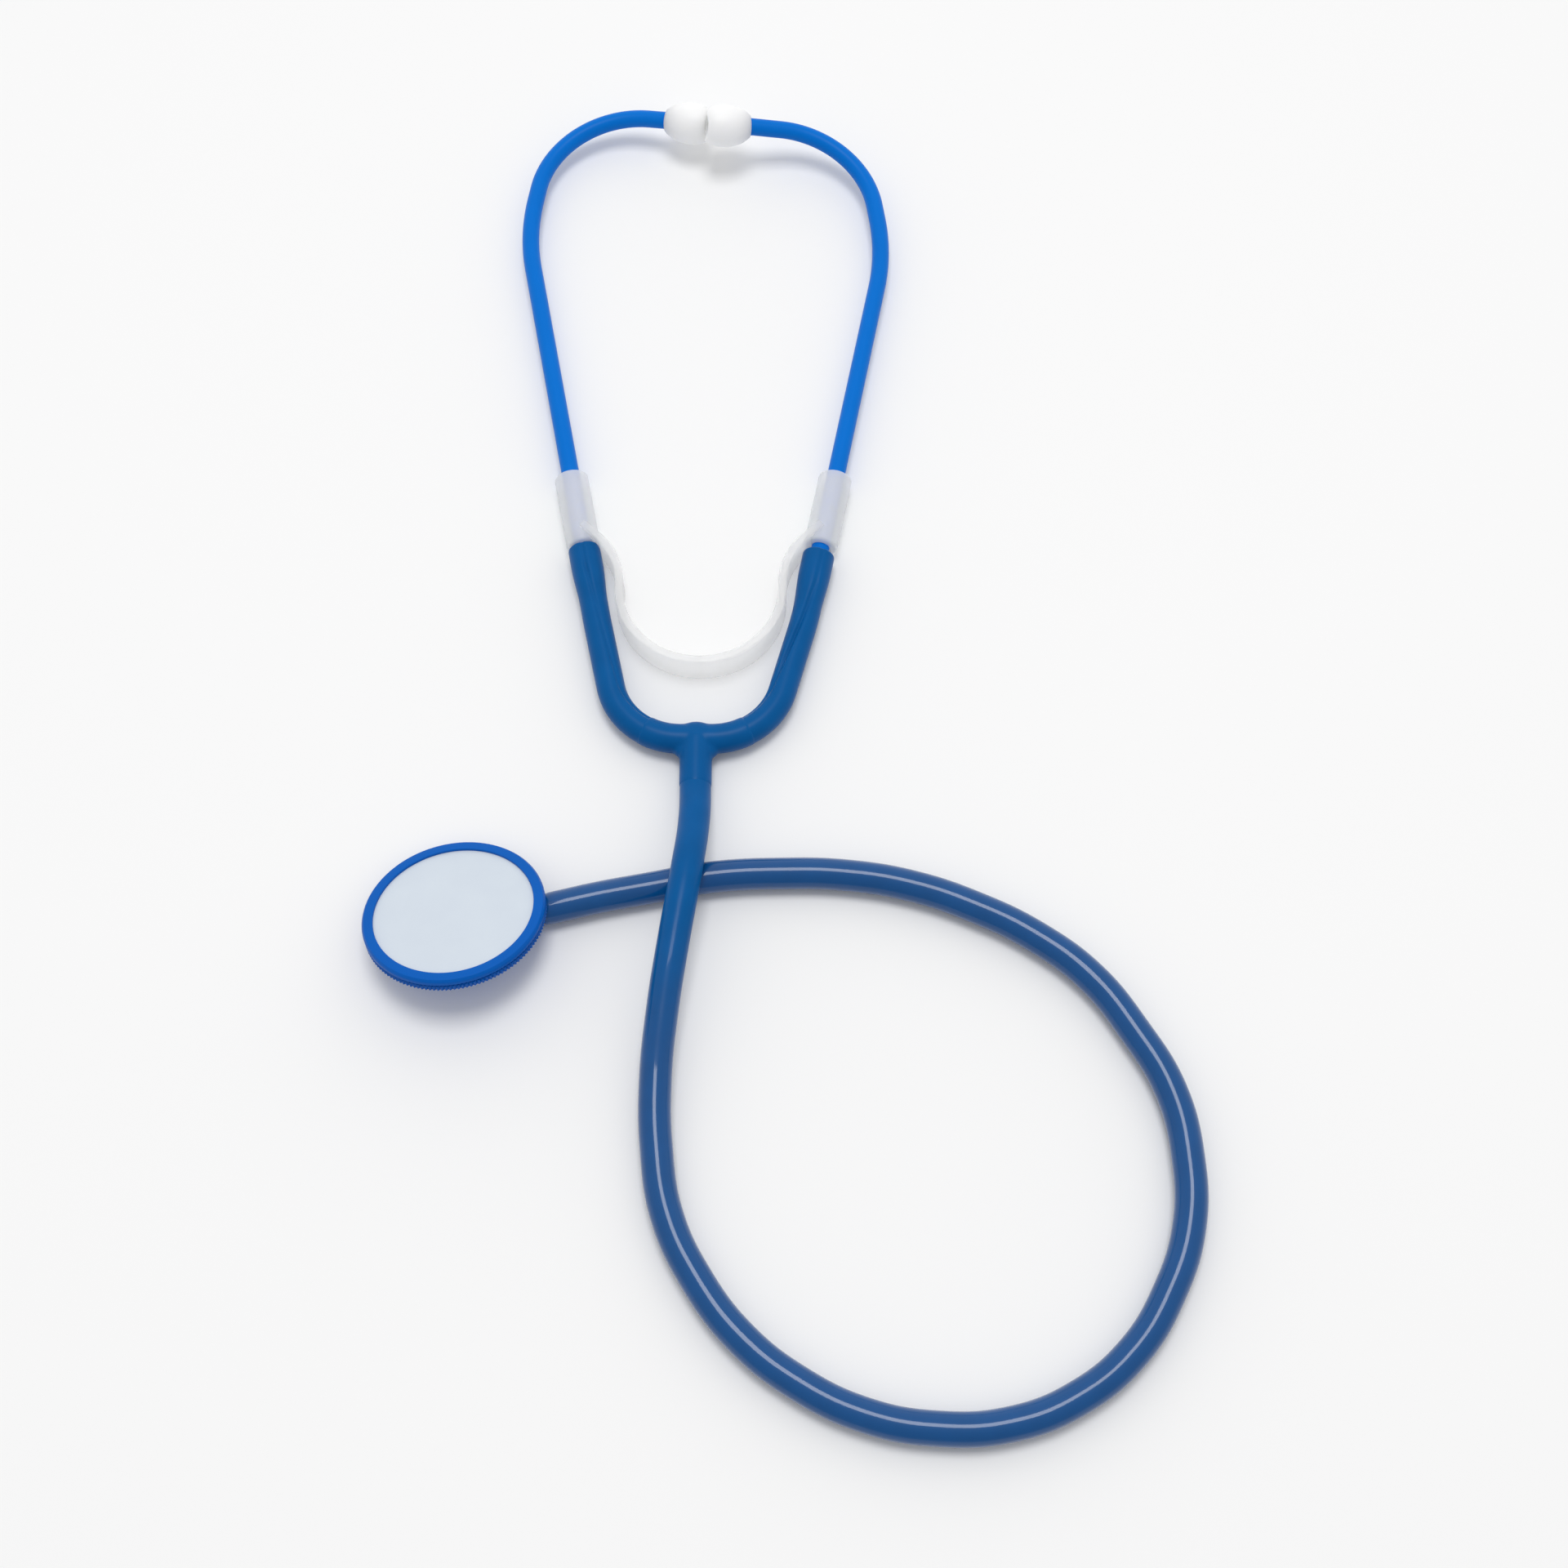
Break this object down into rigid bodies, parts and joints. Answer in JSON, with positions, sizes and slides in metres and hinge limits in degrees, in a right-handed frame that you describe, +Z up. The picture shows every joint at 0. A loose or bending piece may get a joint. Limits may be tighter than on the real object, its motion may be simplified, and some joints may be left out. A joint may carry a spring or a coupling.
{
  "type": "toy stethoscope",
  "caption": "Toy stethoscope with a knurled disc chestpiece, a looped soft hose, a forked tube, a clear spring band and curved ear tubes with soft tips.",
  "frame": {"origin": "middle of the footprint of the headset and chestpiece, at the table", "axes": "+Z up from the table it lies on, +Y from the fork towards the ear tips"},
  "size_m": [0.2106, 0.393, 0.0223],
  "materials": {
    "chest_plastic": "satin moulded plastic",
    "diaphragm_film": "matte film",
    "hose_pvc": "glossy soft vinyl",
    "ear_tube_plastic": "satin moulded plastic",
    "band_plastic": "frosted clear plastic",
    "ear_tip_silicone": "milky soft silicone"
  },
  "bodies": {
    "tubing": {"main_hose": "hose_pvc", "hose_end": "hose_pvc", "y_junction": "hose_pvc", "spring_strap": "band_plastic"},
    "left_side": {"left_y_arm": "hose_pvc", "left_band_sleeve": "band_plastic"},
    "right_side": {"right_y_arm": "hose_pvc", "right_band_sleeve": "band_plastic"},
    "left_ear": {"left_ear_tube": "ear_tube_plastic"},
    "right_ear": {"right_ear_tube": "ear_tube_plastic"},
    "left_tip": {"left_ear_tip": "ear_tip_silicone"},
    "right_tip": {"right_ear_tip": "ear_tip_silicone"},
    "chest": {"chest_body": "chest_plastic", "diaphragm": "diaphragm_film"},
    "ring": {"retaining_ring": "chest_plastic"}
  },
  "joints": [
    {"name": "left_spread", "type": "hinge", "parent": "tubing", "child": "left_side", "pos_m": [-0.0025, -0.062, 0.0047], "axis": [0, 0, 1], "range_deg": [0, 20], "stiffness_Nm_per_rad": 0.6, "deforming": ["left_y_arm", "spring_strap"]},
    {"name": "left_tube_turn", "type": "hinge", "parent": "left_side", "child": "left_ear", "pos_m": [-0.01924, 0.00138, 0.0047], "axis": [0.1908, -0.9816, 0], "range_deg": [0, 45]},
    {"name": "left_tip_turn", "type": "hinge", "parent": "left_ear", "child": "left_tip", "pos_m": [0.00872, 0.13683, 0.01124], "axis": [0.9794, -0.1664, 0.1142], "continuous": true},
    {"name": "right_spread", "type": "hinge", "parent": "tubing", "child": "right_side", "pos_m": [0.0325, -0.062, 0.0047], "axis": [0, 0, -1], "range_deg": [0, 20], "stiffness_Nm_per_rad": 0.6, "deforming": ["right_y_arm", "spring_strap"]},
    {"name": "right_tube_turn", "type": "hinge", "parent": "right_side", "child": "right_ear", "pos_m": [0.05054, 0.00138, 0.0047], "axis": [0.1908, 0.9816, 0], "range_deg": [0, 45]},
    {"name": "right_tip_turn", "type": "hinge", "parent": "right_ear", "child": "right_tip", "pos_m": [0.02195, 0.12951, 0.01586], "axis": [-0.9662, -0.169, 0.1947], "continuous": true},
    {"name": "chest_swivel", "type": "hinge", "parent": "tubing", "child": "chest", "pos_m": [-0.045, -0.122, 0.0043], "axis": [0.9703, 0.2419, 0], "continuous": true},
    {"name": "ring_turn", "type": "hinge", "parent": "chest", "child": "ring", "pos_m": [-0.045, -0.122, 0.0043], "axis": [-0.0827, 0.3319, 0.9397], "continuous": true}
  ]
}
